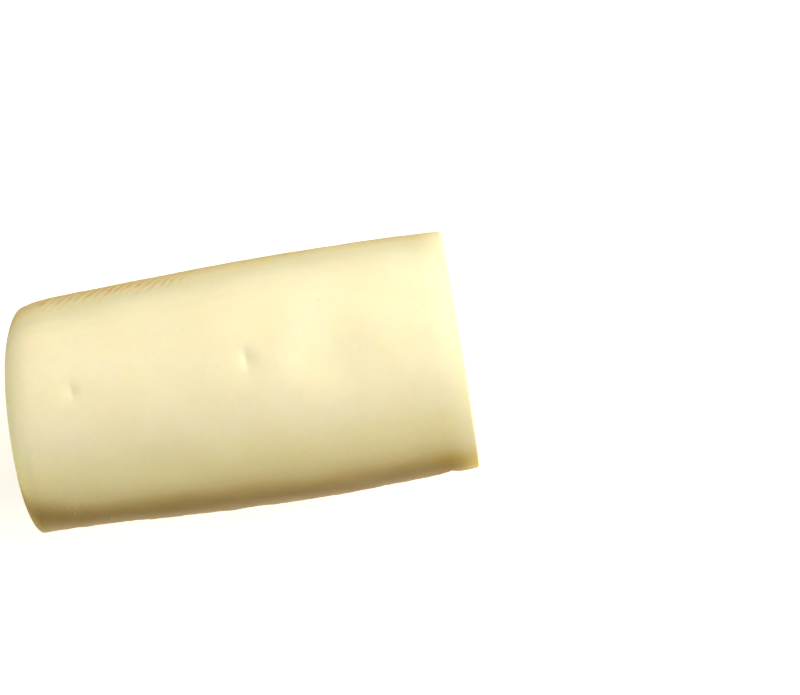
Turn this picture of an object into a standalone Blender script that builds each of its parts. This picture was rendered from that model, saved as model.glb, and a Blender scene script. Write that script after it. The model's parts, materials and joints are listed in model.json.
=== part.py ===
"""Half a log of provolone, lying on its side with its sliced end to +X.

The log is a turned barrel with a moulded, domed end at -X. It has sagged under its own weight onto a
flat underside, its domed end leans, and a wire has cut the other end off. Metres, +Z up, +Y the back
of the log, origin under its middle, on the surface that it lies on.
"""

import math

import bmesh
import bpy
import numpy
from mathutils import Vector, noise


# Driving dimensions
LENGTH = 0.2138  # from the domed end to the cut
SPARE = 0.0080  # length that the blank is turned too long, for the wire to cut off
CUT_SKEW = 0.5  # degrees by which the cut runs out of square, shortening the back
HEIGHT = 0.1105  # from the flat underside to the crown
SAG = 0.0035  # how far the underside has flattened
SAG_EASE = 0.0012  # height over which the underside rounds up out of its flat

# The barrel: its half-widths to the back and to the front of its axis, at stations from the domed end
STATIONS = (0.000, 0.050, 0.100, 0.150, 0.213)
BACK_HALF_WIDTHS = (0.0530, 0.0552, 0.0572, 0.0579, 0.0570)
FRONT_HALF_WIDTHS = (0.0550, 0.0557, 0.0577, 0.0581, 0.0557)

# The domed end: a superellipse, (depth, squareness), that turns from broad at the back to tight in front
BACK_DOME = (0.0245, 3.05)
FRONT_DOME = (0.0125, 3.15)
BLANK_DOME = (0.0185, 3.1)
LEAN_BACK = 0.0015  # how far the end is pulled in at its back, and pushed out at its front
LEAN_CROWN = 0.0030  # the same at its crown and at its foot
LEAN_FADE = 0.0600  # distance from the tip over which that lean dies out

# Facets
STEPS_ROUND = 96
STEPS_DOME = 16
STEPS_SIDE = 24

# Slow unevenness of the moulded surface
UNEVEN = 0.0005
UNEVEN_SIZE = 0.0550

# Dents pressed into the soft surface: place from the domed end, angle round the log from the crown
# towards the front, length along the log, length round it, and depth
DENTS = {
    "thumb_dent": (0.0365, -10.0, 0.0110, 0.0110, 0.0010),
    "palm_dent": (0.1205, -9.0, 0.0150, 0.0150, 0.0014),
    "crown_hollow": (0.1490, -7.0, 0.0150, 0.0190, 0.0011),
    "torn_rind": (0.2035, 90.0, 0.0060, 0.0130, 0.0018),
}

CHEESE_COLOUR = (0.888, 0.745, 0.448, 1.0)
CHEESE_ROUGHNESS = 0.45

BACK_BARREL = numpy.polyfit(STATIONS, BACK_HALF_WIDTHS, len(STATIONS) - 1)
FRONT_BARREL = numpy.polyfit(STATIONS, FRONT_HALF_WIDTHS, len(STATIONS) - 1)


def clear_scene():
    for item in list(bpy.data.objects):
        bpy.data.objects.remove(item)


def mix(front, back, share):
    return front + (back - front) * share


def superellipse(share, depth, squareness):
    """Distance from the tip of a domed end, at a share of its radius."""
    return depth * (1.0 - max(0.0, 1.0 - share ** squareness) ** (1.0 / squareness))


def turned_blank(collection):
    """A straight bar of radius 1 with a domed end, turned about Z with its tip at the top."""
    depth, squareness = BLANK_DOME
    outline = []
    for step in range(STEPS_DOME + 1):
        share = math.sin(math.pi / 2 * step / STEPS_DOME) ** (2.0 / squareness)
        outline.append(Vector((share, 0.0, -superellipse(share, depth, squareness))))
    for step in range(1, STEPS_SIDE + 1):
        outline.append(Vector((1.0, 0.0, -mix(depth, LENGTH + SPARE, step / STEPS_SIDE))))
    outline.append(Vector((0.0, 0.0, outline[-1].z)))

    mesh = bpy.data.meshes.new("profile")
    mesh.from_pydata(outline, [(i, i + 1) for i in range(len(outline) - 1)], [])
    blank = bpy.data.objects.new("turned_blank", mesh)
    collection.objects.link(blank)
    screw = blank.modifiers.new("turn", "SCREW")
    screw.axis = "Z"
    screw.steps = screw.render_steps = STEPS_ROUND
    screw.use_merge_vertices = True
    screw.merge_threshold = 0.00005
    bpy.context.view_layer.update()
    graph = bpy.context.evaluated_depsgraph_get()
    turned = bpy.data.meshes.new_from_object(blank.evaluated_get(graph))
    bpy.data.objects.remove(blank)
    return turned


def moulded(spot):
    """The blank's spot on the moulded log: laid along +X from its tip, domed and barrelled."""
    share = math.hypot(spot.x, spot.y)
    side = spot.y / share if share > 0.0 else 0.0
    back = (1.0 + side) / 2
    depth, squareness = (mix(front, rear, back) for front, rear in zip(FRONT_DOME, BACK_DOME))
    if -spot.z < BLANK_DOME[0]:
        along = superellipse(share, depth, squareness)
    else:
        along = mix(depth, LENGTH + SPARE, (-spot.z - BLANK_DOME[0]) / (LENGTH + SPARE - BLANK_DOME[0]))
    rear_width = numpy.polyval(BACK_BARREL, along)
    front_width = numpy.polyval(FRONT_BARREL, along)
    width = rear_width if spot.y > 0.0 else front_width
    return Vector((along, spot.y * width, spot.x * (rear_width + front_width) / 2))


def leaning(point):
    """The domed end leans: its back and crown are pulled in, its front and foot pushed out."""
    fade = max(0.0, 1.0 - point.x / LEAN_FADE) ** 2
    pull = (LEAN_BACK * point.y + LEAN_CROWN * point.z) / (HEIGHT / 2)
    return Vector((point.x + pull * fade, point.y, point.z))


def uneven(point):
    """The slow waves of a surface that was stretched, moulded and pressed by hand."""
    wave = noise.noise(point / UNEVEN_SIZE) * UNEVEN
    radial = Vector((0.0, point.y, point.z))
    if radial.length > 0.0:
        radial.normalize()
    return point + radial * wave


def pressed(point):
    """The dents, each a smooth hollow that pushes the surface towards the log's axis."""
    angle = math.atan2(-point.y, point.z)
    radius = math.hypot(point.y, point.z)
    depth = 0.0
    for along, turn, length, breadth, deep in DENTS.values():
        off = (angle - math.radians(turn) + math.pi) % (2 * math.pi) - math.pi
        spread = math.hypot((point.x - along) / length, off * HEIGHT / 2 / breadth)
        if spread < 1.0:
            depth += deep * (1.0 - spread * spread) ** 2
    share = 1.0 - depth / max(radius, depth, 1e-9)
    return Vector((point.x, point.y * share, point.z * share))


def settled(mesh):
    """Squashes the log to its height, and flattens its underside where it rests."""
    crown = max(vertex.co.z for vertex in mesh.vertices)
    squash = (HEIGHT + SAG) / 2 / crown
    for vertex in mesh.vertices:
        height = (vertex.co.z + crown) * squash - SAG
        if height < -SAG_EASE:
            height = 0.0
        elif height < SAG_EASE:
            height = (height + SAG_EASE) ** 2 / (4 * SAG_EASE)
        vertex.co.z = height


def wire_cut(mesh):
    """Cuts the blank off, LENGTH from its tip, and caps it with one flat face."""
    cut = bmesh.new()
    cut.from_mesh(mesh)
    whole = cut.verts[:] + cut.edges[:] + cut.faces[:]
    skew = math.radians(CUT_SKEW)
    place = Vector((LENGTH + min(vertex.co.x for vertex in cut.verts), 0.0, 0.0))
    facing = Vector((math.cos(skew), math.sin(skew), 0.0))
    bmesh.ops.bisect_plane(cut, geom=whole, plane_co=place, plane_no=facing, clear_outer=True)
    rim = [edge for edge in cut.edges if edge.is_boundary]
    bmesh.ops.edgeloop_fill(cut, edges=rim)
    bmesh.ops.recalc_face_normals(cut, faces=cut.faces)
    cut.to_mesh(mesh)
    cut.free()


def centred(mesh):
    """Moves the log so that the middle of its length and of its width stands over the origin."""
    for axis in (0, 1):
        spots = [vertex.co[axis] for vertex in mesh.vertices]
        middle = (min(spots) + max(spots)) / 2
        for vertex in mesh.vertices:
            vertex.co[axis] -= middle


def cheese_material():
    material = bpy.data.materials.new("provolone")
    material.use_nodes = True
    shader = material.node_tree.nodes["Principled BSDF"]
    shader.inputs["Base Color"].default_value = CHEESE_COLOUR
    shader.inputs["Roughness"].default_value = CHEESE_ROUGHNESS
    shader.inputs["Metallic"].default_value = 0.0
    return material


def cheese_log(collection):
    mesh = turned_blank(collection)
    for vertex in mesh.vertices:
        vertex.co = pressed(uneven(leaning(moulded(vertex.co))))
    settled(mesh)
    wire_cut(mesh)
    centred(mesh)
    mesh.name = "cheese_log"
    mesh.shade_smooth()
    mesh.set_sharp_from_angle(angle=math.radians(40))
    mesh.materials.append(cheese_material())
    log = bpy.data.objects.new("cheese_log", mesh)
    collection.objects.link(log)
    return log


def main():
    clear_scene()
    collection = bpy.data.collections.new("provolone_cheese")
    bpy.context.scene.collection.children.link(collection)
    cheese_log(collection)


main()
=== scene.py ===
"""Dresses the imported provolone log: a moulded, pleated and dented rind over pale cheese.

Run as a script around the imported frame. Everything is in metres in the frame's own axes: +X along the
log to its cut end, +Y to its back, +Z up.
"""

import json
import math

import bpy
import numpy
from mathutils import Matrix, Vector

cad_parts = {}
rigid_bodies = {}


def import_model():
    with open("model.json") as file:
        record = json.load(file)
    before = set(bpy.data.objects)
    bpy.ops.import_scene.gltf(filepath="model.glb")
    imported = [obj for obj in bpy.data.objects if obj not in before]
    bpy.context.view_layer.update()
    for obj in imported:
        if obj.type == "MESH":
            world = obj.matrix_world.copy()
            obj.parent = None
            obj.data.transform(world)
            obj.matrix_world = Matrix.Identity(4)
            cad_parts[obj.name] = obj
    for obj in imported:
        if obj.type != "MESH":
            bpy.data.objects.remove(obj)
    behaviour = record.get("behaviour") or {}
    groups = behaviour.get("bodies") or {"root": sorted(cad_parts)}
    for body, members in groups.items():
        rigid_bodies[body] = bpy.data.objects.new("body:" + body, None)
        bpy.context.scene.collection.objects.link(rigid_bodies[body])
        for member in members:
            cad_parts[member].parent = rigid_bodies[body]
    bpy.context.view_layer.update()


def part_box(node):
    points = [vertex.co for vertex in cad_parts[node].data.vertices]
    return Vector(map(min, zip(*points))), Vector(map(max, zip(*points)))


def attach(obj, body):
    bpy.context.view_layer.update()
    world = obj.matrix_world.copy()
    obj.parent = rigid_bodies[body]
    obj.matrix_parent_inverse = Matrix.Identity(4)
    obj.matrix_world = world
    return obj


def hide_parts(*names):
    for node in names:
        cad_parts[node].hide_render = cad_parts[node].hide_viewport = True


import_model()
LOG_LOW, LOG_HIGH = (Vector(corner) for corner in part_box("cheese_log"))

bl_info = {
    "name": "Provolone Log",
    "version": (1, 0, 0),
    "blender": (4, 5, 0),
    "location": "3D View > Sidebar > Cheese",
    "description": "A moulded log of provolone with a pleated rind and a wire-cut end",
    "category": "Object",
}

PIECE_NAMES = {"log": "provolone_log", "flecks": "rind_flecks"}
PLEATED_SHARE = 0.55  # of the length of the side, which needs close rings


def linear(code):
    """An sRGB hex code as a linear colour."""
    channels = [int(code[start:start + 2], 16) / 255 for start in (1, 3, 5)]
    return tuple(c / 12.92 if c <= 0.04045 else ((c + 0.055) / 1.055) ** 2.4 for c in channels)


def length_property(name, description, default):
    """A size in metres that a user may change."""
    return bpy.props.FloatProperty(
        name=name, description=description, default=default, precision=5, subtype="DISTANCE", unit="LENGTH"
    )


def colour_property(name, description, code):
    """A linear colour that a user may change, given by its sRGB hex code."""
    return bpy.props.FloatVectorProperty(
        name=name, description=description, default=linear(code), size=3, min=0.0, max=1.0, subtype="COLOR"
    )


class LogShape(bpy.types.PropertyGroup):
    """Sizes of the moulded log."""

    length: length_property("Length", "From the domed end to the cut", LOG_HIGH.x - LOG_LOW.x)
    height: length_property("Height", "From the flat underside to the crown", LOG_HIGH.z - LOG_LOW.z)
    sag: length_property("Sag", "How far the underside has flattened", 0.0035)
    sag_ease: length_property("Sag ease", "Height over which the underside rounds up out of its flat", 0.0024)
    stations: bpy.props.FloatVectorProperty(
        name="Stations", description="Distances from the domed end at which the barrel is measured",
        default=(0.000, 0.050, 0.100, 0.150, 0.213), size=5, precision=4, subtype="NONE", unit="LENGTH",
    )
    back_half_widths: bpy.props.FloatVectorProperty(
        name="Back half-widths", description="From the axis to the back at each station",
        default=(0.0530, 0.0552, 0.0572, 0.0579, 0.0570), size=5, precision=4, subtype="NONE", unit="LENGTH",
    )
    front_half_widths: bpy.props.FloatVectorProperty(
        name="Front half-widths", description="From the axis to the front at each station",
        default=(0.0550, 0.0557, 0.0577, 0.0581, 0.0557), size=5, precision=4, subtype="NONE", unit="LENGTH",
    )
    back_dome: length_property("Back dome", "Depth of the domed end's rounding at the back", 0.0245)
    front_dome: length_property("Front dome", "Depth of the domed end's rounding at the front", 0.0125)
    dome_squareness: bpy.props.FloatProperty(
        name="Dome squareness", description="Power of the domed end's superellipse", default=3.1, min=2.0
    )
    lean_back: length_property("Lean back", "How far the domed end is pulled in at its back", 0.0015)
    lean_crown: length_property("Lean crown", "How far the domed end is pulled in at its crown", 0.0030)
    lean_fade: length_property("Lean fade", "Distance over which the lean dies out", 0.0600)
    cut_skew: bpy.props.FloatProperty(
        name="Cut skew", description="How far the cut runs out of square", default=math.radians(0.5),
        subtype="ANGLE", unit="ROTATION",
    )
    cut_rounding: length_property("Cut rounding", "Radius of the rim of the cut", 0.0008)
    rings_dome: bpy.props.IntProperty(name="Dome rings", description="Rings over the domed end", default=30)
    rings_pleats: bpy.props.IntProperty(name="Pleat rings", description="Rings along the pleats", default=150)
    rings_side: bpy.props.IntProperty(name="Side rings", description="Rings along the smooth side", default=76)
    rings_cut: bpy.props.IntProperty(name="Cut rings", description="Rings over the cut face", default=40)
    facets_round: bpy.props.IntProperty(name="Facets", description="Facets round the log", default=320)


class RindRelief(bpy.types.PropertyGroup):
    """Sizes of what was pressed, pleated and torn into the rind."""

    waves: length_property("Waves", "Height of the slow waves of the moulded surface", 0.00035)
    waves_size: length_property("Wave size", "Distance between the slow waves", 0.0550)
    lumps: length_property("Lumps", "Height of the small unevenness", 0.00012)
    lumps_size: length_property("Lump size", "Distance between the small lumps", 0.0120)
    streaks: length_property("Streaks", "Depth of the streaks along the log", 0.00002)
    pleat_pitch: length_property("Pleat pitch", "Distance from one pleat to the next", 0.0046)
    pleat_depth: length_property("Pleat depth", "Depth of the creases between the pleats", 0.00070)
    pleat_lean: bpy.props.FloatProperty(
        name="Pleat lean", description="How far a pleat runs along the log for its length round it", default=0.42
    )
    ragged: length_property("Ragged flank", "Height of the rough skin low on the front", 0.00030)
    ragged_size: length_property("Ragged size", "Distance between its lumps", 0.0075)
    tear_depth: length_property("Tear depth", "Depth of the torn patch by the cut", 0.0016)
    wire_marks: length_property("Wire marks", "Depth of the marks that the wire left on the cut", 0.00012)
    fleck_density: bpy.props.FloatProperty(
        name="Fleck density", description="Flecks to a square metre where they are thickest", default=30000.0
    )
    fleck_length: length_property("Fleck length", "Length of the longest flecks", 0.0026)
    fleck_thickness: length_property("Fleck thickness", "Thickness of the flecks", 0.00008)


# Dents pressed by thumbs and by stacking, and swellings where the depth is negative: place from the domed
# end, degrees round the log from the crown towards the back, reach towards the domed end, reach towards the
# cut, reach round the log, depth, whether the bottom is creased (1) or a soft hollow (0), and how far the
# crease runs along the log for its length round it
DENTS = {
    "thumb_dent": (0.0366, 9.5, 0.0120, 0.0130, 0.0090, 0.0008, 1, 0.08),
    "thumb_nail": (0.0366, 9.0, 0.0045, 0.0075, 0.0050, 0.0007, 1, 0.10),
    "palm_dent": (0.1172, 10.5, 0.0120, 0.0150, 0.0110, 0.0010, 1, 0.00),
    "palm_nail": (0.1172, 11.5, 0.0045, 0.0075, 0.0065, 0.0007, 1, 0.05),
    "crown_hollow": (0.1555, 6.5, 0.0260, 0.0270, 0.0210, 0.0020, 0, 0.0),
    "flank_hollow": (0.0700, -34.0, 0.0300, 0.0340, 0.0170, 0.0006, 0, 0.0),
    "front_corner": (0.0050, -92.0, 0.0100, 0.0050, 0.0300, -0.0013, 0, 0.0),
    "front_waist": (0.0115, -92.0, 0.0060, 0.0080, 0.0300, 0.0002, 0, 0.0),
    "back_corner": (0.0085, 84.0, 0.0080, 0.0070, 0.0250, -0.0013, 0, 0.0),
    "back_shoulder": (0.0180, 84.0, 0.0080, 0.0100, 0.0250, 0.0002, 0, 0.0),
    "front_chip": (0.0240, -96.0, 0.0030, 0.0070, 0.0100, 0.0005, 1, 0.0),
    "cut_flank": (0.2070, -80.0, 0.0400, 0.0300, 0.0350, -0.0004, 0, 0.0),
}


# Eyes that the wire opened in the cut: across from the axis, height, length, breadth, and turn in degrees.
# Most are pinholes; the longer ones are slits where a gas bubble was stretched
EYES = (
    (-0.0165, 0.0600, 0.0034, 0.0006, 8.0), (0.0240, 0.0710, 0.0021, 0.0005, -14.0),
    (-0.0300, 0.0790, 0.0015, 0.0005, 10.0), (-0.0060, 0.0930, 0.0007, 0.0006, 0.0),
    (0.0040, 0.0870, 0.0009, 0.0006, 40.0), (0.0005, 0.0530, 0.0010, 0.0008, 20.0),
    (0.0120, 0.0400, 0.0008, 0.0007, 0.0), (-0.0020, 0.0360, 0.0009, 0.0007, 60.0),
    (0.0180, 0.0520, 0.0006, 0.0006, 0.0), (-0.0210, 0.0380, 0.0011, 0.0005, 30.0),
    (0.0310, 0.0560, 0.0007, 0.0006, 0.0), (-0.0360, 0.0520, 0.0008, 0.0006, 80.0),
    (0.0080, 0.0700, 0.0006, 0.0005, 0.0), (-0.0110, 0.0240, 0.0013, 0.0005, -20.0),
    (0.0230, 0.0290, 0.0007, 0.0006, 0.0),
)
EYE_DEPTH = 0.0016


class Finish(bpy.types.PropertyGroup):
    """Colours of the cheese."""

    rind: colour_property("Rind", "Pale rind on the crown", "#F1E9C7")
    rind_deep: colour_property("Deep rind", "Rind where it is thicker and drier", "#EFE5BF")
    # Painted shade: the domed end's darker, greener rind stands in for shade where it faces away from the light
    rind_dome_shade: colour_property("Dome rind", "Greener, drier rind over the domed end", "#D6D3A5")
    rind_crease: colour_property("Creased rind", "Golden tan skin in the creases and streaks", "#C59E54")
    rind_torn: colour_property("Torn rind", "Orange, resinous skin where the rind tore", "#C08430")
    rind_line: colour_property("Rind line", "The thin dry rind, seen edge on", "#A87838")
    # Painted glow: this paler rind by the cut stands in for light that comes through the thin rim
    rind_cut_glow: colour_property("Thin rind", "Rind by the cut, where the paste shows through", "#FCF4CE")
    paste: colour_property("Paste", "Moist cheese in the cut", "#F8E6C2")
    paste_rim: colour_property("Paste rim", "Cheese close under the rind", "#EEDCA8")
    fleck: colour_property("Fleck", "Dry curd flecks on the rind", "#FBF4D8")
    floor: colour_property("Floor", "The pale floor", "#F2F2F0")
    counter: colour_property("Bounce", "What the flanks see below them", "#BCAA90")


class Stage(bpy.types.PropertyGroup):
    """The camera and the lights."""

    camera_height: length_property("Camera height", "Height of the camera above the floor", 1.1)
    camera_x: length_property("Camera X", "Place of the camera along the log", 0.0791)
    camera_y: length_property("Camera Y", "Place of the camera across the log", 0.00584)
    camera_roll: bpy.props.FloatProperty(
        name="Camera roll", description="Turn of the log in the picture", default=math.radians(-8.9),
        subtype="ANGLE", unit="ROTATION",
    )
    lens: bpy.props.FloatProperty(name="Lens", description="Focal length in mm", default=99.92)
    floor_size: length_property("Floor size", "Side of the floor", 8.0)


def add(tree, kind, inputs=None, output=0, **settings):
    """Adds a node with its settings, links or sets its inputs and returns one of its outputs."""
    node = tree.nodes.new(kind)
    for name, value in settings.items():
        setattr(node, name, value)
    for socket, value in (inputs or {}).items():
        if isinstance(value, bpy.types.NodeSocket):
            tree.links.new(value, node.inputs[socket])
        else:
            node.inputs[socket].default_value = value
    return node if output is None else node.outputs[output]


def new_tree(name, sizes):
    """A geometry node tree with a named float input for each size, and its input node's sockets."""
    tree = bpy.data.node_groups.new(name, "GeometryNodeTree")
    tree.interface.new_socket("Geometry", in_out="INPUT", socket_type="NodeSocketGeometry")
    tree.interface.new_socket("Geometry", in_out="OUTPUT", socket_type="NodeSocketGeometry")
    for size in sizes:
        tree.interface.new_socket(size, in_out="INPUT", socket_type="NodeSocketFloat")
    sockets = tree.nodes.new("NodeGroupInput").outputs
    return tree, sockets


def baked(name, tree, sizes, carrier=None):
    """Runs a node tree on an object, with its sizes set, and returns the result as a plain mesh object."""
    mesh = carrier.data.copy() if carrier else bpy.data.meshes.new(name + "_start")
    maker = bpy.data.objects.new(name + "_maker", mesh)
    bpy.context.collection.objects.link(maker)
    modifier = maker.modifiers.new("shape", "NODES")
    modifier.node_group = tree
    for item in tree.interface.items_tree:
        if item.in_out == "INPUT" and item.name in sizes:
            modifier[item.identifier] = sizes[item.name]
    graph = bpy.context.evaluated_depsgraph_get()
    made = bpy.data.meshes.new_from_object(maker.evaluated_get(graph))
    if not made.polygons:
        raise RuntimeError(name + " came out empty")
    maker.modifiers.remove(modifier)
    bpy.data.objects.remove(maker)
    made.name = name
    piece = bpy.data.objects.new(name, made)
    bpy.context.collection.objects.link(piece)
    return piece


# ---- The log's surface ---------------------------------------------------------------------------


def barrel_width(tree, along, stations, widths):
    """Half-width of the barrel at a distance from the domed end: the curve through its stations."""
    powers = numpy.polyfit(stations, widths, len(stations) - 1)
    width = float(powers[0])
    for power in powers[1:]:
        width = add(tree, "ShaderNodeMath", {0: width, 1: along, 2: float(power)}, operation="MULTIPLY_ADD")
    return width


def dome_profile(tree, share, depth, squareness):
    """Distance from the tip of the domed end at a share of its radius: a superellipse."""
    power = add(tree, "ShaderNodeMath", {0: share, 1: squareness}, operation="POWER")
    rest = add(tree, "ShaderNodeMath", {0: 1.0, 1: power}, operation="SUBTRACT", use_clamp=True)
    inverse = 1.0 / squareness
    root = add(tree, "ShaderNodeMath", {0: rest, 1: inverse}, operation="POWER")
    fall = add(tree, "ShaderNodeMath", {0: 1.0, 1: root}, operation="SUBTRACT")
    return add(tree, "ShaderNodeMath", {0: fall, 1: depth}, operation="MULTIPLY")


def dent_field(tree, along, arc, radius, dent):
    """Depth of one dent at a point: deepest at its own place, and zero beyond its reach."""
    place, turn, reach_dome, reach_cut, reach_round, depth, creased, slant = dent
    aside = add(tree, "ShaderNodeMath", {0: arc, 1: -math.radians(turn) * radius}, operation="SUBTRACT")
    level = add(tree, "ShaderNodeMath", {0: aside, 1: -slant, 2: along}, operation="MULTIPLY_ADD")
    ahead = add(tree, "ShaderNodeMath", {0: level, 1: place}, operation="SUBTRACT")
    before = add(tree, "ShaderNodeMath", {0: ahead, 1: -1.0 / reach_dome}, operation="MULTIPLY")
    behind = add(tree, "ShaderNodeMath", {0: ahead, 1: 1.0 / reach_cut}, operation="MULTIPLY")
    far = add(tree, "ShaderNodeMath", {0: before, 1: behind, 2: 0.2}, operation="SMOOTH_MAX")
    wide = add(tree, "ShaderNodeMath", {0: aside, 1: reach_round}, operation="DIVIDE")
    if creased:
        slope = add(tree, "ShaderNodeMath", {0: 1.0, 1: far}, operation="SUBTRACT", use_clamp=True)
        slope = add(tree, "ShaderNodeMath", {0: slope, 1: 2.0}, operation="POWER")
        spread = add(tree, "ShaderNodeMath", {0: wide}, operation="ABSOLUTE")
    else:
        slope = 1.0
        spot = add(tree, "ShaderNodeCombineXYZ", {0: far, 1: wide})
        spread = add(tree, "ShaderNodeVectorMath", {0: spot}, output="Value", operation="LENGTH")
    inside = add(tree, "ShaderNodeMapRange", {0: spread, 1: 1.0, 2: 0.0}, interpolation_type="SMOOTHSTEP")
    hollow = add(tree, "ShaderNodeMath", {0: inside, 1: slope}, operation="MULTIPLY")
    return add(tree, "ShaderNodeMath", {0: hollow, 1: depth}, operation="MULTIPLY")


def window(tree, value, rise_from, rise_to, fall_from, fall_to):
    """A field that rises from 0 to 1 between two values and falls again between two others."""
    rise = add(tree, "ShaderNodeMapRange", {0: value, 1: rise_from, 2: rise_to}, interpolation_type="SMOOTHSTEP")
    fall = add(tree, "ShaderNodeMapRange", {0: value, 1: fall_from, 2: fall_to, 3: 1.0, 4: 0.0},
               interpolation_type="SMOOTHSTEP")
    return add(tree, "ShaderNodeMath", {0: rise, 1: fall}, operation="MULTIPLY")


def signed_noise(tree, vector, size, detail=2.0):
    """Noise of features of a given size, from about -1 to 1."""
    noise = add(tree, "ShaderNodeTexNoise", {"Vector": vector, "Scale": 1.0 / size, "Detail": detail})
    return add(tree, "ShaderNodeMapRange", {0: noise, 1: 0.25, 2: 0.75, 3: -1.0, 4: 1.0}, clamp=False)


def pleat_fields(tree, along, arc, spot, relief, radius):
    """Creases between the pleats of the back: (how deep the crease is, how far the pleats reach)."""
    back_arc = add(tree, "ShaderNodeMath", {0: arc, 1: -1.0}, operation="MULTIPLY")
    slope = add(tree, "ShaderNodeMath", {0: back_arc, 1: -relief.pleat_lean, 2: along}, operation="MULTIPLY_ADD")
    wander = signed_noise(tree, spot, 0.018)
    phase = add(tree, "ShaderNodeMath", {0: wander, 1: 0.0016, 2: slope}, operation="MULTIPLY_ADD")
    turns = add(tree, "ShaderNodeMath", {0: phase, 1: math.pi / relief.pleat_pitch}, operation="MULTIPLY")
    wave = add(tree, "ShaderNodeMath", {0: turns}, operation="SINE")
    ridge = add(tree, "ShaderNodeMath", {0: wave}, operation="ABSOLUTE")
    valley = add(tree, "ShaderNodeMath", {0: 1.0, 1: ridge}, operation="SUBTRACT")
    crease = add(tree, "ShaderNodeMath", {0: valley, 1: 1.3}, operation="POWER")
    uneven = signed_noise(tree, spot, 0.006)
    strength = add(tree, "ShaderNodeMapRange", {0: uneven, 1: -0.8, 2: 0.4, 3: 0.25, 4: 1.0})
    crease = add(tree, "ShaderNodeMath", {0: crease, 1: strength}, operation="MULTIPLY")
    start = add(tree, "ShaderNodeMath", {0: uneven, 1: 0.0040, 2: back_arc}, operation="MULTIPLY_ADD")
    degrees = radius * math.pi / 180
    round_the_back = window(tree, start, 57 * degrees, 74 * degrees, 118 * degrees, 150 * degrees)
    along_the_log = window(tree, along, 0.014, 0.030, 0.070, 0.108)
    reach = add(tree, "ShaderNodeMath", {0: round_the_back, 1: along_the_log}, operation="MULTIPLY")
    return add(tree, "ShaderNodeMath", {0: crease, 1: reach}, operation="MULTIPLY"), reach


def tear_field(tree, along, arc, spot, radius):
    """The torn patch low on the front by the cut: a ragged lip, then a floor that runs out."""
    ragged = signed_noise(tree, spot, 0.006)
    edge = add(tree, "ShaderNodeMath", {0: ragged, 1: 0.0016, 2: along}, operation="MULTIPLY_ADD")
    degrees = radius * math.pi / 180
    off = add(tree, "ShaderNodeMath", {0: arc, 1: 84 * degrees}, operation="SUBTRACT")
    round_it = add(tree, "ShaderNodeMath", {0: off, 1: 0.010}, operation="DIVIDE")
    bowed = add(tree, "ShaderNodeMath", {0: round_it, 1: 2.0}, operation="POWER")
    lip_line = add(tree, "ShaderNodeMath", {0: bowed, 1: -0.0030, 2: edge}, operation="MULTIPLY_ADD")
    lip = add(tree, "ShaderNodeMapRange", {0: lip_line, 1: 0.1966, 2: 0.1992}, interpolation_type="SMOOTHSTEP")
    floor = add(tree, "ShaderNodeMapRange", {0: edge, 1: 0.1990, 2: 0.2070, 3: 1.0, 4: 0.0},
                interpolation_type="SMOOTHSTEP")
    patch = add(tree, "ShaderNodeMath", {0: lip, 1: floor}, operation="MULTIPLY")
    side = add(tree, "ShaderNodeMath", {0: ragged, 1: 0.0030, 2: arc}, operation="MULTIPLY_ADD")
    band = window(tree, side, 72 * degrees, 84 * degrees, 88 * degrees, 104 * degrees)
    return add(tree, "ShaderNodeMath", {0: patch, 1: band}, operation="MULTIPLY")


def rim_drop(tree, distance, rounding):
    """How far a surface falls away towards the rounded rim of the cut, at a distance from the rim."""
    share = add(tree, "ShaderNodeMath", {0: distance, 1: rounding}, operation="DIVIDE", use_clamp=True)
    rest = add(tree, "ShaderNodeMath", {0: 1.0, 1: share}, operation="SUBTRACT")
    square = add(tree, "ShaderNodeMath", {0: rest, 1: 2.0}, operation="POWER")
    height = add(tree, "ShaderNodeMath", {0: 1.0, 1: square}, operation="SUBTRACT")
    root = add(tree, "ShaderNodeMath", {0: height}, operation="SQRT")
    fall = add(tree, "ShaderNodeMath", {0: 1.0, 1: root}, operation="SUBTRACT")
    return add(tree, "ShaderNodeMath", {0: fall, 1: rounding}, operation="MULTIPLY")


def eyes_in_cut(tree, shape):
    """Solid drops to take out of the cut face, marked as lying deep inside the paste."""
    drop = add(tree, "GeometryNodeMeshIcoSphere", {"Radius": 0.5, "Subdivisions": 3})
    joined = add(tree, "GeometryNodeJoinGeometry")
    for across, height, length, breadth, turn in EYES:
        face = LOG_HIGH.x - math.tan(shape.cut_skew) * (across - LOG_LOW.y)
        eye = add(tree, "GeometryNodeTransform", {
            "Geometry": drop, "Translation": Vector((face, across, height)),
            "Rotation": (math.radians(turn), 0.0, 0.0), "Scale": Vector((EYE_DEPTH, length, breadth)),
        })
        tree.links.new(eye, joined.node.inputs[0])
    eyes = joined
    for name, value in {"inward": 0.02, "in_cut": 1.0}.items():
        eyes = add(tree, "GeometryNodeStoreNamedAttribute", {"Geometry": eyes, "Name": name, "Value": value},
                   data_type="FLOAT", domain="POINT")
    return eyes


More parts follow.
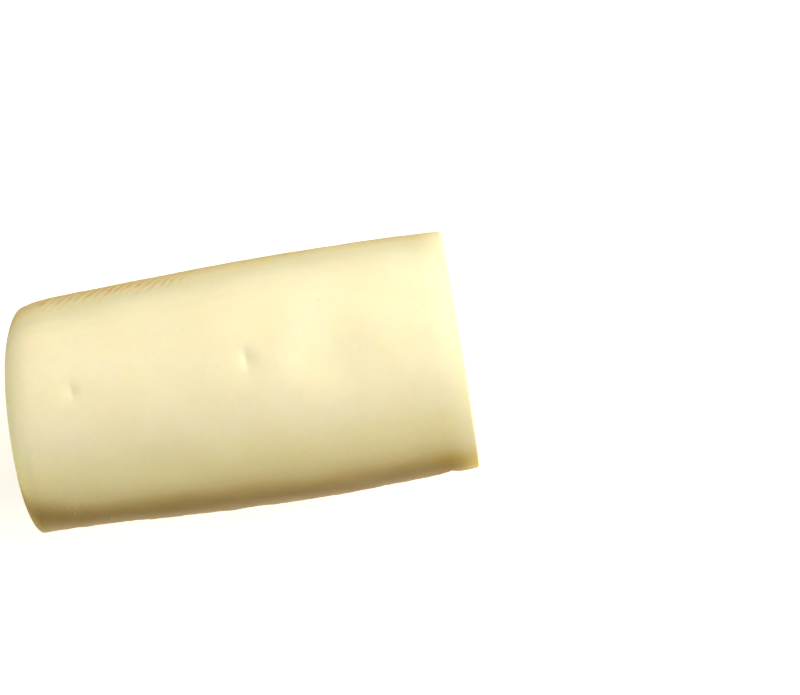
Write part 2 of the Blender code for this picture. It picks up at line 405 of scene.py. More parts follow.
def log_tree(shape, relief, rind, paste):
    """The whole closed surface of the log as one grid, wrapped from its tip to the middle of its cut."""
    tree, sizes = new_tree("log_surface", ["Cut Rounding", "Pleat Depth", "Tear Depth", "Wave Height"])
    rings = shape.rings_dome + shape.rings_pleats + shape.rings_side + shape.rings_cut
    grid = add(tree, "GeometryNodeMeshGrid", {
        "Size X": 1.0, "Size Y": 1.0, "Vertices X": rings + 1, "Vertices Y": shape.facets_round + 1,
    })
    place = add(tree, "GeometryNodeInputPosition")
    flat = add(tree, "ShaderNodeSeparateXYZ", {0: place}).node
    dome_end = shape.rings_dome / rings - 0.5
    pleats_end = (shape.rings_dome + shape.rings_pleats) / rings - 0.5
    side_end = 0.5 - shape.rings_cut / rings

    # Where a ring lies: shares of the way over the dome, along the side and into the cut
    over_dome = add(tree, "ShaderNodeMapRange", {0: flat.outputs["X"], 1: -0.5, 2: dome_end, 3: 0.0, 4: math.pi / 2})
    dome_sine = add(tree, "ShaderNodeMath", {0: over_dome}, operation="SINE")
    dome_share = add(tree, "ShaderNodeMath", {0: dome_sine, 1: 2.0 / shape.dome_squareness}, operation="POWER")
    over_pleats = add(tree, "ShaderNodeMapRange", {
        0: flat.outputs["X"], 1: dome_end, 2: pleats_end, 3: 0.0, 4: PLEATED_SHARE,
    })
    to_cut = add(tree, "ShaderNodeMapRange", {0: flat.outputs["X"], 1: pleats_end, 2: side_end, 3: 1.0, 4: 0.0})
    to_cut_eased = add(tree, "ShaderNodeMath", {0: to_cut, 1: 1.5}, operation="POWER")
    over_side = add(tree, "ShaderNodeMapRange", {0: to_cut_eased, 1: 1.0, 2: 0.0, 3: 0.0, 4: 1.0 - PLEATED_SHARE})
    side_share = add(tree, "ShaderNodeMath", {0: over_pleats, 1: over_side}, operation="ADD")
    into_cut = add(tree, "ShaderNodeMapRange", {0: flat.outputs["X"], 1: side_end, 2: 0.5})
    into_cut_eased = add(tree, "ShaderNodeMath", {0: into_cut, 1: 1.5}, operation="POWER")
    cut_share = add(tree, "ShaderNodeMath", {0: 1.0, 1: into_cut_eased}, operation="SUBTRACT")
    share = add(tree, "ShaderNodeMath", {0: dome_share, 1: cut_share}, operation="MULTIPLY")
    in_cut = add(tree, "ShaderNodeMath", {0: flat.outputs["X"], 1: side_end + 0.25 / rings}, operation="GREATER_THAN")

    # Where a point lies round the log, from its underside over the back to the crown and the front
    turn = add(tree, "ShaderNodeMapRange", {0: flat.outputs["Y"], 1: -0.5, 2: 0.5, 3: 0.0, 4: 2 * math.pi})
    to_back = add(tree, "ShaderNodeMath", {0: turn}, operation="SINE")
    to_foot = add(tree, "ShaderNodeMath", {0: turn}, operation="COSINE")
    to_crown = add(tree, "ShaderNodeMath", {0: to_foot, 1: -1.0}, operation="MULTIPLY")
    back = add(tree, "ShaderNodeMapRange", {0: to_back, 1: -1.0, 2: 1.0})
    radius = shape.height / 2
    from_crown = add(tree, "ShaderNodeMath", {0: turn, 1: math.pi}, operation="SUBTRACT")
    arc = add(tree, "ShaderNodeMath", {0: from_crown, 1: radius}, operation="MULTIPLY")

    # The moulded outline
    dome_depth = add(tree, "ShaderNodeMapRange", {0: back, 3: shape.front_dome, 4: shape.back_dome})
    tip = dome_profile(tree, dome_share, dome_depth, shape.dome_squareness)
    skewed = add(tree, "ShaderNodeMath", {0: to_back, 1: share}, operation="MULTIPLY")
    slant = -math.tan(shape.cut_skew) * radius
    rounding_start = (1.0 - math.sqrt(0.5)) * shape.cut_rounding
    cut_place = add(tree, "ShaderNodeMath", {0: skewed, 1: slant, 2: shape.length - rounding_start},
                    operation="MULTIPLY_ADD")
    along = add(tree, "ShaderNodeMix", {0: side_share, 2: tip, 3: cut_place}, data_type="FLOAT")
    back_width = barrel_width(tree, along, shape.stations, shape.back_half_widths)
    front_width = barrel_width(tree, along, shape.stations, shape.front_half_widths)
    behind = add(tree, "ShaderNodeMath", {0: to_back, 1: 0.0}, operation="GREATER_THAN")
    width = add(tree, "ShaderNodeMix", {0: behind, 2: front_width, 3: back_width}, data_type="FLOAT")
    middle_width = add(tree, "ShaderNodeMix", {0: 0.5, 2: front_width, 3: back_width}, data_type="FLOAT")

    # The smooth spot that the patterns are read at
    smooth_y = add(tree, "ShaderNodeMath", {0: to_back, 1: width}, operation="MULTIPLY")
    smooth_z = add(tree, "ShaderNodeMath", {0: to_crown, 1: middle_width}, operation="MULTIPLY")
    outer = add(tree, "ShaderNodeCombineXYZ", {0: along, 1: smooth_y, 2: smooth_z})
    spot = add(tree, "ShaderNodeVectorMath", {0: outer, 1: Vector((1.0, 1.0, 1.0))}, operation="MULTIPLY")
    long_spot = add(tree, "ShaderNodeVectorMath", {0: outer, 1: Vector((0.05, 1.0, 1.0))}, operation="MULTIPLY")

    # Relief, outwards positive
    waves = signed_noise(tree, spot, relief.waves_size, 1.0)
    height = add(tree, "ShaderNodeMath", {0: waves, 1: sizes["Wave Height"]}, operation="MULTIPLY")
    lumps = signed_noise(tree, spot, relief.lumps_size)
    height = add(tree, "ShaderNodeMath", {0: lumps, 1: relief.lumps, 2: height}, operation="MULTIPLY_ADD")
    streaks = signed_noise(tree, long_spot, 0.0035)
    height = add(tree, "ShaderNodeMath", {0: streaks, 1: relief.streaks, 2: height}, operation="MULTIPLY_ADD")
    for dent in DENTS.values():
        depth = dent_field(tree, along, arc, radius, dent)
        height = add(tree, "ShaderNodeMath", {0: height, 1: depth}, operation="SUBTRACT")
    crease, pleated = pleat_fields(tree, along, arc, spot, relief, radius)
    pleats = add(tree, "ShaderNodeMath", {0: crease, 1: sizes["Pleat Depth"]}, operation="MULTIPLY")
    height = add(tree, "ShaderNodeMath", {0: height, 1: pleats}, operation="SUBTRACT")
    torn = tear_field(tree, along, arc, spot, radius)
    tear = add(tree, "ShaderNodeMath", {0: torn, 1: sizes["Tear Depth"]}, operation="MULTIPLY")
    height = add(tree, "ShaderNodeMath", {0: height, 1: tear}, operation="SUBTRACT")
    degrees = radius * math.pi / 180
    low_front = window(tree, arc, 70 * degrees, 84 * degrees, 110 * degrees, 130 * degrees)
    rough = signed_noise(tree, spot, relief.ragged_size)
    rough_here = add(tree, "ShaderNodeMath", {0: rough, 1: low_front}, operation="MULTIPLY")
    height = add(tree, "ShaderNodeMath", {0: rough_here, 1: relief.ragged, 2: height}, operation="MULTIPLY_ADD")

    # The rounded rim of the cut
    to_rim = add(tree, "ShaderNodeMath", {0: cut_place, 1: along}, operation="SUBTRACT")
    from_edge = add(tree, "ShaderNodeMath", {0: to_rim, 1: rounding_start}, operation="ADD")
    side_drop = rim_drop(tree, from_edge, sizes["Cut Rounding"])
    height = add(tree, "ShaderNodeMath", {0: height, 1: side_drop}, operation="SUBTRACT")

    # The point itself
    wide = add(tree, "ShaderNodeMath", {0: width, 1: height}, operation="ADD")
    tall = add(tree, "ShaderNodeMath", {0: middle_width, 1: height}, operation="ADD")
    share_back = add(tree, "ShaderNodeMath", {0: share, 1: to_back}, operation="MULTIPLY")
    share_crown = add(tree, "ShaderNodeMath", {0: share, 1: to_crown}, operation="MULTIPLY")
    point_y = add(tree, "ShaderNodeMath", {0: share_back, 1: wide}, operation="MULTIPLY")
    point_z = add(tree, "ShaderNodeMath", {0: share_crown, 1: tall}, operation="MULTIPLY")

    # The lean of the domed end
    fade = add(tree, "ShaderNodeMapRange", {0: along, 1: 0.0, 2: shape.lean_fade, 3: 1.0, 4: 0.0})
    fade = add(tree, "ShaderNodeMath", {0: fade, 1: 2.0}, operation="POWER")
    pull_back = add(tree, "ShaderNodeMath", {0: point_y, 1: shape.lean_back / radius}, operation="MULTIPLY")
    pull = add(tree, "ShaderNodeMath", {0: point_z, 1: shape.lean_crown / radius, 2: pull_back},
               operation="MULTIPLY_ADD")
    leaning = add(tree, "ShaderNodeMath", {0: pull, 1: fade, 2: along}, operation="MULTIPLY_ADD")

    # The cut face: the far side of the rounded rim, and the drag marks of the wire
    inward = add(tree, "ShaderNodeMath", {0: 1.0, 1: cut_share}, operation="SUBTRACT")
    inward = add(tree, "ShaderNodeMath", {0: inward, 1: radius, 2: rounding_start}, operation="MULTIPLY_ADD")
    face_drop = rim_drop(tree, inward, sizes["Cut Rounding"])
    rise = add(tree, "ShaderNodeMath", {0: rounding_start, 1: face_drop}, operation="SUBTRACT")
    cut_spot = add(tree, "ShaderNodeCombineXYZ", {0: point_y, 1: point_z})
    drag = add(tree, "ShaderNodeVectorMath", {0: cut_spot, 1: Vector((0.12, 1.0, 1.0))}, operation="MULTIPLY")
    marks = signed_noise(tree, drag, 0.0025, 3.0)
    inner = add(tree, "ShaderNodeMapRange", {0: inward, 1: 0.001, 2: 0.006})
    marks = add(tree, "ShaderNodeMath", {0: marks, 1: inner}, operation="MULTIPLY")
    rise = add(tree, "ShaderNodeMath", {0: marks, 1: relief.wire_marks, 2: rise}, operation="MULTIPLY_ADD")
    point_x = add(tree, "ShaderNodeMath", {0: rise, 1: in_cut, 2: leaning}, operation="MULTIPLY_ADD")

    # The log settles: it is squashed to its height, and its underside goes flat
    half = max(*shape.back_half_widths, *shape.front_half_widths)
    squash = (shape.height + shape.sag) / (2 * half)
    lifted = add(tree, "ShaderNodeMath", {0: point_z, 1: half}, operation="ADD")
    sunk = add(tree, "ShaderNodeMath", {0: lifted, 1: squash, 2: -shape.sag}, operation="MULTIPLY_ADD")
    settled = add(tree, "ShaderNodeMath", {0: sunk, 1: 0.0, 2: shape.sag_ease}, operation="SMOOTH_MAX")
    point = add(tree, "ShaderNodeCombineXYZ", {0: point_x, 1: point_y, 2: settled})

    surface = grid
    marks_kept = {"crease": crease, "pleated": pleated, "torn": torn, "inward": inward, "in_cut": in_cut}
    for name, field in marks_kept.items():
        surface = add(tree, "GeometryNodeStoreNamedAttribute", {"Geometry": surface, "Name": name, "Value": field},
                      data_type="FLOAT", domain="POINT")
    surface = add(tree, "GeometryNodeSetPosition", {"Geometry": surface, "Position": point})

    # Set into the frame's own box
    box = add(tree, "GeometryNodeBoundBox", {"Geometry": surface}, output="Min").node
    extent = add(tree, "ShaderNodeVectorMath", {0: box.outputs["Max"], 1: box.outputs["Min"]}, operation="SUBTRACT")
    here = add(tree, "GeometryNodeInputPosition")
    ahead = add(tree, "ShaderNodeVectorMath", {0: here, 1: box.outputs["Min"]}, operation="SUBTRACT")
    part = add(tree, "ShaderNodeVectorMath", {0: ahead, 1: extent}, operation="DIVIDE")
    fitted = add(tree, "ShaderNodeVectorMath", {0: part, 1: LOG_HIGH - LOG_LOW, 2: LOG_LOW}, operation="MULTIPLY_ADD")
    surface = add(tree, "GeometryNodeSetPosition", {"Geometry": surface, "Position": fitted})

    surface = add(tree, "GeometryNodeMergeByDistance", {"Geometry": surface, "Distance": 0.000005})
    surface = add(tree, "GeometryNodeFlipFaces", {"Mesh": surface})
    surface = add(tree, "GeometryNodeMeshBoolean", {0: surface, 1: eyes_in_cut(tree, shape)},
                  operation="DIFFERENCE", solver="EXACT")
    surface = add(tree, "GeometryNodeSetShadeSmooth", {"Geometry": surface})
    surface = add(tree, "GeometryNodeRealizeInstances", {"Geometry": surface})
    surface = add(tree, "GeometryNodeSetMaterial", {"Geometry": surface, "Material": rind})
    cut_kept = add(tree, "GeometryNodeInputNamedAttribute", {"Name": "in_cut"}, data_type="FLOAT")
    on_cut = add(tree, "FunctionNodeCompare", {0: cut_kept, 1: 0.5}, operation="GREATER_THAN")
    surface = add(tree, "GeometryNodeSetMaterial", {"Geometry": surface, "Selection": on_cut, "Material": paste})
    add(tree, "NodeGroupOutput", {0: surface}, output=None)
    return tree


class CHEESE_OT_log(bpy.types.Operator):
    """Models the log from its rules and puts it in place of the plain solid"""

    bl_idname = "cheese.log"
    bl_label = "Provolone Log"

    def execute(self, context):
        shape = context.scene.log_shape
        relief = context.scene.rind_relief
        finish = context.scene.cheese_finish
        tree = log_tree(shape, relief, rind_material(finish), paste_material(finish))
        sizes = {
            "Cut Rounding": shape.cut_rounding,
            "Pleat Depth": relief.pleat_depth,
            "Tear Depth": relief.tear_depth,
            "Wave Height": relief.waves,
        }
        log = baked(PIECE_NAMES["log"], tree, sizes)
        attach(log, "root")
        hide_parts("cheese_log")
        return {"FINISHED"}


# ---- Flecks --------------------------------------------------------------------------------------


def fleck_tree(flake):
    """Dry flakes of curd that cling to the rind, most of them low on the front by the domed end."""
    tree, sizes = new_tree("fleck_scatter", ["Density", "Length", "Thickness"])
    place = add(tree, "GeometryNodeInputPosition")
    spot = add(tree, "ShaderNodeSeparateXYZ", {0: place}).node
    patch_spot = Vector((LOG_LOW.x + 0.034, -0.044, 0.086))
    away = add(tree, "ShaderNodeVectorMath", {0: place, 1: patch_spot}, operation="SUBTRACT")
    reach = add(tree, "ShaderNodeVectorMath", {0: away, 1: Vector((1 / 0.032, 1 / 0.020, 1 / 0.034))},
                operation="MULTIPLY")
    far = add(tree, "ShaderNodeVectorMath", {0: reach}, output="Value", operation="LENGTH")
    in_patch = add(tree, "ShaderNodeMapRange", {0: far, 1: 1.0, 2: 0.3}, interpolation_type="SMOOTHSTEP")
    above = add(tree, "ShaderNodeMapRange", {0: spot.outputs["Z"], 1: 0.030, 2: 0.060, 3: 0.0, 4: 0.025})
    crowd = add(tree, "ShaderNodeMath", {0: in_patch, 1: above}, operation="MAXIMUM")
    crowd = add(tree, "ShaderNodeMath", {0: crowd, 1: sizes["Density"]}, operation="MULTIPLY")
    cut_kept = add(tree, "GeometryNodeInputNamedAttribute", {"Name": "in_cut"}, data_type="FLOAT")
    on_rind = add(tree, "FunctionNodeCompare", {0: cut_kept, 1: 0.01}, operation="LESS_THAN")
    points = add(tree, "GeometryNodeDistributePointsOnFaces", {
        "Mesh": sizes["Geometry"], "Selection": on_rind, "Density": crowd, "Seed": 7,
    }, output=None)
    chip = add(tree, "GeometryNodeMeshIcoSphere", {"Radius": 0.5, "Subdivisions": 1})
    spin = add(tree, "FunctionNodeRandomValue", {2: 0.0, 3: 2 * math.pi, "Seed": 1}, output=1)
    turn = add(tree, "ShaderNodeCombineXYZ", {2: spin})
    turned = add(tree, "FunctionNodeRotateRotation", {0: points.outputs["Rotation"], 1: turn},
                 rotation_space="LOCAL")
    long = add(tree, "FunctionNodeRandomValue", {2: 0.25, 3: 1.0, "Seed": 2}, output=1)
    long = add(tree, "ShaderNodeMath", {0: long, 1: sizes["Length"]}, operation="MULTIPLY")
    broad = add(tree, "FunctionNodeRandomValue", {2: 0.15, 3: 0.4, "Seed": 3}, output=1)
    broad = add(tree, "ShaderNodeMath", {0: broad, 1: long}, operation="MULTIPLY")
    size = add(tree, "ShaderNodeCombineXYZ", {0: long, 1: broad, 2: sizes["Thickness"]})
    flakes = add(tree, "GeometryNodeInstanceOnPoints", {
        "Points": points.outputs["Points"], "Instance": chip, "Rotation": turned, "Scale": size,
    })
    flakes = add(tree, "GeometryNodeRealizeInstances", {"Geometry": flakes})
    flakes = add(tree, "GeometryNodeSetShadeSmooth", {"Geometry": flakes})
    flakes = add(tree, "GeometryNodeSetMaterial", {"Geometry": flakes, "Material": flake})
    add(tree, "NodeGroupOutput", {0: flakes}, output=None)
    return tree


class CHEESE_OT_flecks(bpy.types.Operator):
    """Scatters dry flecks of curd over the rind"""

    bl_idname = "cheese.flecks"
    bl_label = "Rind Flecks"

    def execute(self, context):
        relief = context.scene.rind_relief
        tree = fleck_tree(fleck_material(context.scene.cheese_finish))
        sizes = {"Density": relief.fleck_density, "Length": relief.fleck_length, "Thickness": relief.fleck_thickness}
        flecks = baked(PIECE_NAMES["flecks"], tree, sizes, bpy.data.objects[PIECE_NAMES["log"]])
        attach(flecks, "root")
        return {"FINISHED"}


# ---- Materials -----------------------------------------------------------------------------------


def new_material(name):
    """An empty node-based material: (material, its tree, object coordinates)."""
    material = bpy.data.materials.new(name)
    material.use_nodes = True
    material.node_tree.nodes.clear()
    return material, material.node_tree, add(material.node_tree, "ShaderNodeTexCoord", output="Object")


def finish_surface(tree, colour, roughness, height, bump, **constants):
    """Ends a material in one Principled shader, with a bump from a height in metres."""
    normal = add(tree, "ShaderNodeBump", {"Height": height, "Distance": bump, "Strength": 1.0})
    inputs = {"Base Color": colour, "Roughness": roughness, "Normal": normal}
    shader = add(tree, "ShaderNodeBsdfPrincipled", inputs, subsurface_method="RANDOM_WALK")
    for name, value in constants.items():
        shader.node.inputs[name.replace("_", " ")].default_value = value
    add(tree, "ShaderNodeOutputMaterial", {"Surface": shader}, output=None)


# How the rind's colour is multiplied round the log, by degrees from the crown towards the back: painted shade over
# the rind's own golden tone.
# It turns golden and then brown down the front, where the flank turns away from the light, and tan low on the back
TURN_SHADE_TINTS = {
    -180: "#F2E9C8", -135: "#F0E6C4", -116: "#EBDFB8", -103: "#E2D3A4", -93: "#D8C592", -84: "#CBB47F",
    -76: "#BEA670", -70: "#BAA46F", -65: "#C6B484", -60: "#DAC99C", -53: "#F2EACA", -45: "#FCF9E2",
    -35: "#FFFEEC", -26: "#FFFFF6", -15: "#FFFFFF", 45: "#FFFFFF", 55: "#FAFBF9", 63: "#EFF2EF",
    69: "#F0F0E4", 75: "#EBE7D4", 84: "#E2D6B4", 98: "#E0D3AE", 120: "#E9DEBC", 150: "#EFE5C5",
    180: "#F2E9C8",
}
CUT_GLOW = "#FFF2A4"  # how it is multiplied low on the front by the cut, where light comes through it


def shade_and_glow_tint(tree, place):
    """The painted shade that multiplies the rind's colour at a place, reaching further round the log towards the
    domed end, and the painted glow by the cut.
    """
    spot = add(tree, "ShaderNodeSeparateXYZ", {0: place}).node
    along, across, up = spot.outputs
    aloft = add(tree, "ShaderNodeMath", {0: up, 1: (LOG_HIGH.z - LOG_LOW.z) / 2}, operation="SUBTRACT")
    turn = add(tree, "ShaderNodeMath", {0: across, 1: aloft}, operation="ARCTAN2")
    # Painted shade: the ramp of tints reaches further round the log towards the domed end, where less light falls
    shade_reach = add(tree, "ShaderNodeMapRange", {0: along, 1: LOG_LOW.x + 0.150, 2: LOG_LOW.x, 3: 1.0, 4: 1.10})
    shade_reach_tip = add(tree, "ShaderNodeMapRange", {0: along, 1: LOG_LOW.x + 0.028, 2: LOG_LOW.x, 3: 0.0, 4: 0.20})
    shade_reach = add(tree, "ShaderNodeMath", {0: shade_reach, 1: shade_reach_tip}, operation="ADD")
    turn = add(tree, "ShaderNodeMath", {0: turn, 1: shade_reach}, operation="MULTIPLY")
    uneven = add(tree, "ShaderNodeTexNoise", {"Vector": place, "Scale": 1 / 0.034, "Detail": 4.0})
    uneven = add(tree, "ShaderNodeMapRange", {0: uneven, 1: 0.3, 2: 0.7, 3: -0.04, 4: 0.04})
    turn = add(tree, "ShaderNodeMath", {0: turn, 1: uneven}, operation="ADD")
    stop = add(tree, "ShaderNodeMapRange", {0: turn, 1: -math.pi, 2: math.pi})
    tint = add(tree, "ShaderNodeValToRGB", {0: stop})
    stops = tint.node.color_ramp.elements
    stops.remove(stops[1])
    for number, (degrees, code) in enumerate(TURN_SHADE_TINTS.items()):
        mark = stops.new((degrees + 180) / 360) if number else stops[0]
        mark.position = (degrees + 180) / 360
        mark.color = (*linear(code), 1)

    # Painted light by the cut: the painted shade lifts close to the cut, and low on the front there the colour is
    # multiplied golden, standing in for light that comes through the rim from the lit cut face
    shade_lift_near_cut = add(tree, "ShaderNodeMapRange", {
        0: along, 1: LOG_HIGH.x - 0.014, 2: LOG_HIGH.x - 0.001, 3: 1.0, 4: 0.08,
    }, interpolation_type="SMOOTHSTEP")
    lift = add(tree, "ShaderNodeCombineXYZ", {0: across, 1: aloft})
    from_axis = add(tree, "ShaderNodeVectorMath", {0: lift}, output="Value", operation="LENGTH")
    off_axis = add(tree, "ShaderNodeMapRange", {0: from_axis, 1: 0.018, 2: 0.048},
                   interpolation_type="SMOOTHSTEP")
    pull = add(tree, "ShaderNodeMath", {0: shade_lift_near_cut, 1: off_axis}, operation="MULTIPLY")
    tint = add(tree, "ShaderNodeGamma", {0: tint, 1: pull})
    glow_by_cut = add(tree, "ShaderNodeMapRange", {0: along, 1: LOG_HIGH.x - 0.030, 2: LOG_HIGH.x - 0.006},
                 interpolation_type="SMOOTHSTEP")
    low_front = add(tree, "ShaderNodeMapRange", {0: turn, 1: math.radians(-46), 2: math.radians(-72)},
                    interpolation_type="SMOOTHSTEP")
    # Painted glow: golden low on the front close to the cut
    golden = add(tree, "ShaderNodeMath", {0: glow_by_cut, 1: low_front}, operation="MULTIPLY")
    above_foot = add(tree, "ShaderNodeMapRange", {0: turn, 1: math.radians(-125), 2: math.radians(-90)},
                     interpolation_type="SMOOTHSTEP")
    golden = add(tree, "ShaderNodeMath", {0: golden, 1: above_foot}, operation="MULTIPLY")
    tint = add(tree, "ShaderNodeMix", {0: golden, 6: tint, 7: (*linear(CUT_GLOW), 1)}, output=2,
               data_type="RGBA", blend_type="MULTIPLY")
    return tint, along, turn


def rind_material(finish):
    """Dry rind of a pasta filata cheese, pressed in a mould and aired.

    It gives the eye a waxy, faintly mottled cream that lets light in near its edges, goes golden and then brown down
    the front in painted shade over its own golden tone, is darker and greener over the domed end in painted shade, is
    paler by the cut in a painted glow, is tan in its creases, and has a soft satin gloss.
    """
    material, tree, place = new_material("mould_pressed_dry_rind")
    tint, along, turn = shade_and_glow_tint(tree, place)

    # Slow changes of tint, 30 mm across, and a fine mottle of fat, 2 mm across
    slow = add(tree, "ShaderNodeTexNoise", {"Vector": place, "Scale": 1 / 0.030, "Detail": 3.0})
    slow = add(tree, "ShaderNodeMapRange", {0: slow, 1: 0.35, 2: 0.65})
    colour = add(tree, "ShaderNodeMix", {0: slow, 6: (*finish.rind, 1), 7: (*finish.rind_deep, 1)}, output=2,
                 data_type="RGBA")
    mottle = add(tree, "ShaderNodeTexNoise", {"Vector": place, "Scale": 1 / 0.0022, "Detail": 4.0})
    mottle = add(tree, "ShaderNodeMapRange", {0: mottle, 1: 0.3, 2: 0.7, 3: 0.99, 4: 1.01})
    colour = add(tree, "ShaderNodeMix", {0: 1.0, 6: colour, 7: mottle}, output=2, data_type="RGBA",
                 blend_type="MULTIPLY")

    # Darker and greener over the domed end, painted shade where it turns away from the light, and golden tan on its
    # flat tip; paler by the cut, a painted glow
    dome_shade_mask = add(tree, "ShaderNodeMapRange", {0: along, 1: LOG_LOW.x + 0.018, 2: LOG_LOW.x, 3: 0.0, 4: 0.9},
                 interpolation_type="SMOOTHSTEP")
    colour = add(tree, "ShaderNodeMix", {0: dome_shade_mask, 6: colour, 7: (*finish.rind_dome_shade, 1)}, output=2,
                 data_type="RGBA")
    on_tip = add(tree, "ShaderNodeMapRange", {
        0: along, 1: LOG_LOW.x + 0.0028, 2: LOG_LOW.x + 0.0003, 3: 0.0, 4: 0.5,
    })
    colour = add(tree, "ShaderNodeMix", {0: on_tip, 6: colour, 7: (*finish.rind_crease, 1)}, output=2,
                 data_type="RGBA")
    # Painted glow: paler close to the cut, standing in for light that comes through the rim from the cut face
    glow_by_cut = add(tree, "ShaderNodeMapRange", {
        0: along, 1: LOG_HIGH.x - 0.016, 2: LOG_HIGH.x - 0.001, 3: 0.0, 4: 0.9,
    }, interpolation_type="SMOOTHSTEP")
    colour = add(tree, "ShaderNodeMix", {0: glow_by_cut, 6: colour, 7: (*finish.rind_cut_glow, 1)}, output=2,
                 data_type="RGBA")
    # The painted shade and painted glow round the log multiply the colour
    colour = add(tree, "ShaderNodeMix", {0: 1.0, 6: colour, 7: tint}, output=2, data_type="RGBA",
                 blend_type="MULTIPLY")

    # Golden tan in the creases and in the streaks that the curd left when it was stretched, 3 mm broad
    drawn = add(tree, "ShaderNodeVectorMath", {0: place, 1: (0.06, 1.0, 1.0)}, operation="MULTIPLY")
    streak = add(tree, "ShaderNodeTexNoise", {"Vector": drawn, "Scale": 1 / 0.0034, "Detail": 2.0})
    streak = add(tree, "ShaderNodeMapRange", {0: streak, 1: 0.50, 2: 0.75})
    streak_side = add(tree, "ShaderNodeMapRange", {
        0: turn, 1: math.radians(20), 2: math.radians(70), 3: 0.0, 4: 0.07,
    })
    streak = add(tree, "ShaderNodeMath", {0: streak, 1: streak_side}, operation="MULTIPLY")
    crease = add(tree, "ShaderNodeAttribute", output="Fac", attribute_name="crease")
    crease = add(tree, "ShaderNodeMath", {0: crease, 1: 0.95, 2: streak}, operation="MULTIPLY_ADD",
                 use_clamp=True)
    colour = add(tree, "ShaderNodeMix", {0: crease, 6: colour, 7: (*finish.rind_crease, 1)}, output=2,
                 data_type="RGBA")
    torn = add(tree, "ShaderNodeAttribute", output="Fac", attribute_name="torn")
    torn = add(tree, "ShaderNodeMath", {0: torn, 1: 0.95}, operation="MULTIPLY", use_clamp=True)
    colour = add(tree, "ShaderNodeMix", {0: torn, 6: colour, 7: (*finish.rind_torn, 1)}, output=2,
                 data_type="RGBA")

    # Gloss, and the skin's fine grain, 0.9 mm across
    gloss = add(tree, "ShaderNodeTexNoise", {"Vector": place, "Scale": 1 / 0.012, "Detail": 4.0})
    gloss = add(tree, "ShaderNodeMapRange", {0: gloss, 1: 0.3, 2: 0.7, 3: 0.44, 4: 0.56})
    grain = add(tree, "ShaderNodeTexNoise", {"Vector": place, "Scale": 1 / 0.0009, "Detail": 5.0,
                                             "Roughness": 0.6})
    finish_surface(tree, colour, gloss, grain, 0.00003, Subsurface_Weight=0.65, Subsurface_Radius=(1.0, 0.62, 0.26),
                   Subsurface_Scale=0.005, Specular_IOR_Level=0.35, IOR=1.45)
    return material


def paste_material(finish):
    """The paste of the cheese, cut with a wire.

    It gives the eye a paler, closer and moister face than the rind, with a slightly greener ring and a
    thin tan line where the rind ends.
    """
    material, tree, place = new_material("wire_cut_cheese_paste")
    inward = add(tree, "ShaderNodeAttribute", output="Fac", attribute_name="inward")
    ring = add(tree, "ShaderNodeMapRange", {0: inward, 1: 0.001, 2: 0.008, 3: 1.0, 4: 0.0},
               interpolation_type="SMOOTHSTEP")
    colour = add(tree, "ShaderNodeMix", {0: ring, 6: (*finish.paste, 1), 7: (*finish.paste_rim, 1)}, output=2,
                 data_type="RGBA")
    line = add(tree, "ShaderNodeMapRange", {0: inward, 1: 0.0003, 2: 0.0009, 3: 0.45, 4: 0.0})
    colour = add(tree, "ShaderNodeMix", {0: line, 6: colour, 7: (*finish.rind_line, 1)}, output=2, data_type="RGBA")
    mottle = add(tree, "ShaderNodeTexNoise", {"Vector": place, "Scale": 1 / 0.006, "Detail": 4.0})
    mottle = add(tree, "ShaderNodeMapRange", {0: mottle, 1: 0.3, 2: 0.7, 3: 0.83, 4: 0.87})
    colour = add(tree, "ShaderNodeMix", {0: 1.0, 6: colour, 7: mottle}, output=2, data_type="RGBA",
                 blend_type="MULTIPLY")
    drawn = add(tree, "ShaderNodeVectorMath", {0: place, 1: (1.0, 0.1, 1.0)}, operation="MULTIPLY")
    drag = add(tree, "ShaderNodeTexNoise", {"Vector": drawn, "Scale": 1 / 0.0010, "Detail": 4.0})
    gloss = add(tree, "ShaderNodeMapRange", {0: mottle, 1: 0.83, 2: 0.87, 3: 0.34, 4: 0.42})
    finish_surface(tree, colour, gloss, drag, 0.00006, Subsurface_Weight=1.0, Subsurface_Radius=(1.0, 0.7, 0.35),
                   Subsurface_Scale=0.006, Specular_IOR_Level=0.4, IOR=1.45)
    return material


def fleck_material(finish):
    """Dried flakes of curd: they give the eye small matt pale specks on the rind."""
    material, tree, place = new_material("dried_curd_flake")
    tint, along, turn = shade_and_glow_tint(tree, place)
    # The flecks take on most of the rind's painted shade and painted glow
    colour = add(tree, "ShaderNodeMix", {0: 0.92, 6: (1, 1, 1, 1), 7: tint}, output=2, data_type="RGBA")
    colour = add(tree, "ShaderNodeMix", {0: 1.0, 6: colour, 7: (*finish.fleck, 1)}, output=2, data_type="RGBA",
                 blend_type="MULTIPLY")
    mottle = add(tree, "ShaderNodeTexNoise", {"Vector": place, "Scale": 1 / 0.0010, "Detail": 2.0})
    finish_surface(tree, colour, 0.7, mottle, 0.00002, Subsurface_Weight=0.2, Subsurface_Scale=0.001)
    return material


def plain_material(name, colour, glow=0.0):
    """Matt opal board, for the stage, lit a little from below so that its shadows stay soft and pale."""
    material, tree, place = new_material(name)
    tooth = add(tree, "ShaderNodeTexNoise", {"Vector": place, "Scale": 1 / 0.002, "Detail": 2.0})
    finish_surface(tree, (*colour, 1), 0.9, tooth, 0.00001, Emission_Color=(*colour, 1), Emission_Strength=glow)
    return material


# ---- Stage ---------------------------------------------------------------------------------------


def board(name, size, height, material):
    """A square board that faces up, under the log."""
    half = size / 2
    corners = [(-half, -half, height), (half, -half, height), (half, half, height), (-half, half, height)]
    mesh = bpy.data.meshes.new(name)
    mesh.from_pydata(corners, [], [(0, 1, 2, 3)])
    mesh.materials.append(material)
    piece = bpy.data.objects.new(name, mesh)
    bpy.context.collection.objects.link(piece)
    return piece


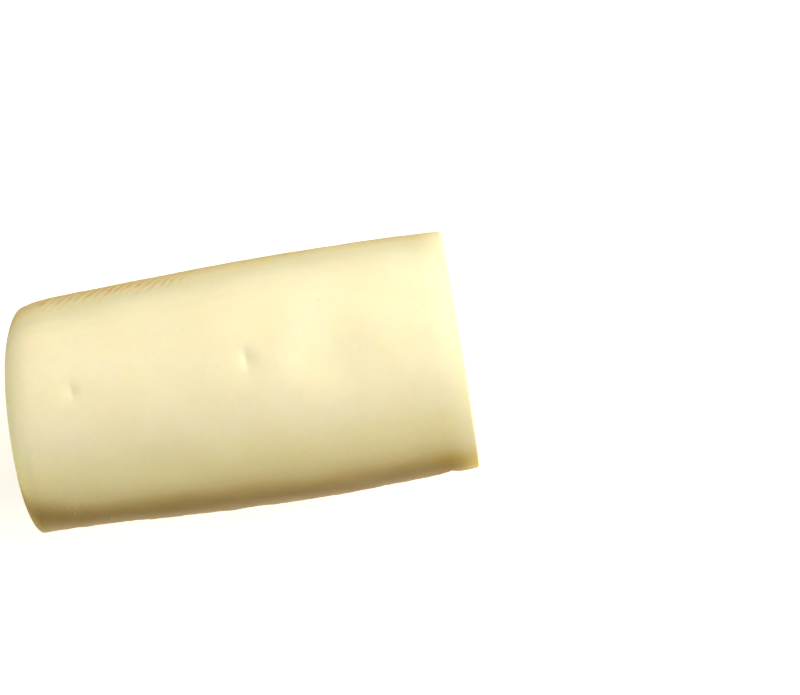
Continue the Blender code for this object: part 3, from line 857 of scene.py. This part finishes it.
def soft_light(name, azimuth, elevation, distance, size, power, colour):
    """A square studio light that looks at the log, from degrees round it (from +X to +Y) and above it."""
    data = bpy.data.lights.new(name, "AREA")
    data.shape = "SQUARE"
    data.size = size
    data.energy = power
    data.color = linear(colour)
    light = bpy.data.objects.new(name, data)
    round_it = math.radians(azimuth)
    up = math.radians(elevation)
    middle = Vector((0.0, 0.0, (LOG_HIGH.z - LOG_LOW.z) / 2))
    away = Vector((math.cos(up) * math.cos(round_it), math.cos(up) * math.sin(round_it), math.sin(up)))
    light.location = middle + away * distance
    light.rotation_euler = away.to_track_quat("Z", "Y").to_euler()
    bpy.context.collection.objects.link(light)
    return light


# Azimuth, elevation, distance, size, power in watts and colour of each light
LIGHTS = {
    "key_softbox": (45.0, 50.0, 1.5, 1.0, 6.7, "#FFFFFF"),
    "cut_side_top": (0.0, 50.0, 1.5, 1.0, 8.9, "#FFFFFF"),
    "cut_side_fill": (0.0, 20.0, 1.5, 1.0, 12.7, "#FFFCF2"),
    "back_fill": (60.0, 20.0, 1.5, 1.0, 8.7, "#FFFFF4"),
    "dome_fill": (180.0, 14.0, 1.5, 1.0, 13.3, "#FEFFF2"),
    "floor_bounce": (-90.0, -72.0, 1.5, 1.0, 15.0, "#FFF6E4"),
}
WORLD_COLOUR = "#FFF4E2"
WORLD_STRENGTH = 0.2


class CHEESE_OT_stage(bpy.types.Operator):
    """Sets the floor, the lights and the camera"""

    bl_idname = "cheese.stage"
    bl_label = "Stage"

    def execute(self, context):
        stage = context.scene.cheese_stage
        finish = context.scene.cheese_finish
        floor = board("pale_floor", stage.floor_size, 0.0, plain_material("lit_opal_board", finish.floor, 0.62))
        floor.visible_diffuse = False
        floor.visible_glossy = False
        floor.visible_shadow = False
        counter = board("bounce_board", stage.floor_size, -0.002, plain_material("matt_brown_board", finish.counter))
        counter.visible_camera = False
        counter.visible_shadow = False
        for name, settings in LIGHTS.items():
            soft_light(name, *settings)

        world = bpy.data.worlds.new("studio_air")
        context.scene.world = world
        world.use_nodes = True
        air = world.node_tree.nodes["Background"]
        air.inputs["Color"].default_value = (*linear(WORLD_COLOUR), 1)
        air.inputs["Strength"].default_value = WORLD_STRENGTH

        data = bpy.data.cameras.new("camera")
        data.lens = stage.lens
        data.clip_end = 100.0
        camera = bpy.data.objects.new("camera", data)
        camera.location = (stage.camera_x, stage.camera_y, stage.camera_height)
        camera.rotation_euler = (0.0, 0.0, stage.camera_roll)
        context.collection.objects.link(camera)
        context.scene.camera = camera
        context.scene.view_settings.view_transform = "Standard"
        return {"FINISHED"}


class CHEESE_PT_panel(bpy.types.Panel):
    """Lists the pieces of the log"""

    bl_idname = "CHEESE_PT_panel"
    bl_label = "Provolone Log"
    bl_space_type = "VIEW_3D"
    bl_region_type = "UI"
    bl_category = "Cheese"

    def draw(self, context):
        for operator in OPERATORS:
            self.layout.operator(operator.bl_idname)


GROUPS = {
    "log_shape": LogShape, "rind_relief": RindRelief, "cheese_finish": Finish, "cheese_stage": Stage,
}
OPERATORS = (CHEESE_OT_log, CHEESE_OT_flecks, CHEESE_OT_stage)


def register():
    for group in GROUPS.values():
        bpy.utils.register_class(group)
    for name, group in GROUPS.items():
        setattr(bpy.types.Scene, name, bpy.props.PointerProperty(type=group))
    for kind in (*OPERATORS, CHEESE_PT_panel):
        bpy.utils.register_class(kind)


def unregister():
    for kind in (CHEESE_PT_panel, *reversed(OPERATORS)):
        bpy.utils.unregister_class(kind)
    for name, group in GROUPS.items():
        delattr(bpy.types.Scene, name)
        bpy.utils.unregister_class(group)


def main():
    register()
    bpy.ops.cheese.log()
    bpy.ops.cheese.flecks()
    bpy.ops.cheese.stage()


if __name__ == "__main__":
    main()
